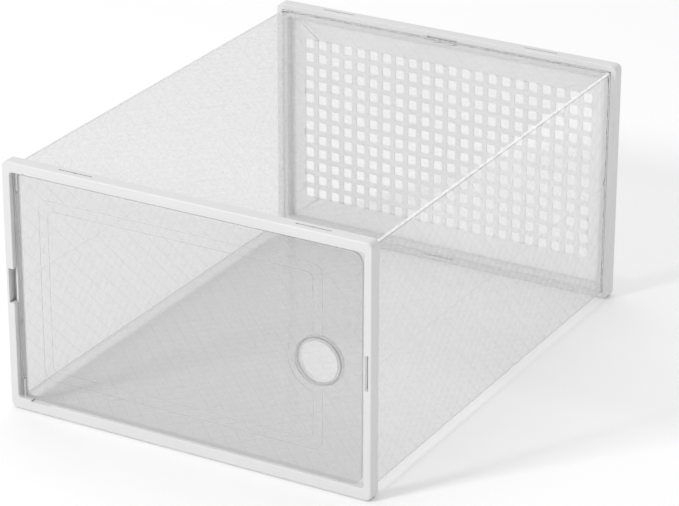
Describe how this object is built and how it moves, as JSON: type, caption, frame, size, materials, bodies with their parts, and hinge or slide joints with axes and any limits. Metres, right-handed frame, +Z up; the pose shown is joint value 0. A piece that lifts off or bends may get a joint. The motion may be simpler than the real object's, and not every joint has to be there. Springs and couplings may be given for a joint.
{
  "type": "shoe box",
  "caption": "Clear stackable shoe box: folded transparent sleeve between white end frames, with a side-hinged clear door with a finger ring and a perforated vent panel at the back.",
  "frame": {"origin": "middle of the footprint, on the surface that the box stands on", "axes": "+X to the right seen from the door, +Y from the door to the vent panel, +Z up"},
  "size_m": [0.28, 0.37, 0.1815],
  "materials": {
    "white_frame": "satin moulded",
    "white_ring": "satin moulded",
    "vent_white": "slightly translucent satin",
    "hinge_pin": "smooth",
    "clear_door": "clear polished",
    "clear_sheet": "clear with a raised diamond lattice"
  },
  "bodies": {
    "sleeve": {"top_panel": "clear_sheet", "bottom_panel": "clear_sheet", "left_panel": "clear_sheet", "right_panel": "clear_sheet", "seam_flap": "clear_sheet"},
    "front_end": {"front_frame": "white_frame", "front_clamp_ring": "white_ring", "front_sheet_clips": "white_ring", "upper_hinge_pin": "hinge_pin", "lower_hinge_pin": "hinge_pin"},
    "door": {"door_panel": "clear_door", "finger_ring": "clear_door"},
    "rear_end": {"rear_frame": "white_frame", "rear_clamp_ring": "white_ring", "rear_sheet_clips": "white_ring", "vent_panel": "vent_white"}
  },
  "joints": [
    {"name": "front_frame_pull", "type": "slide", "parent": "sleeve", "child": "front_end", "axis": [0, -1, 0], "range_m": [0, 0.03]},
    {"name": "rear_frame_pull", "type": "slide", "parent": "sleeve", "child": "rear_end", "axis": [0, 1, 0], "range_m": [0, 0.03]},
    {"name": "door_hinge", "type": "hinge", "parent": "front_end", "child": "door", "pos_m": [-0.1296, -0.1822, 0.09135], "axis": [0, 0, -1], "range_deg": [0, 120]}
  ]
}
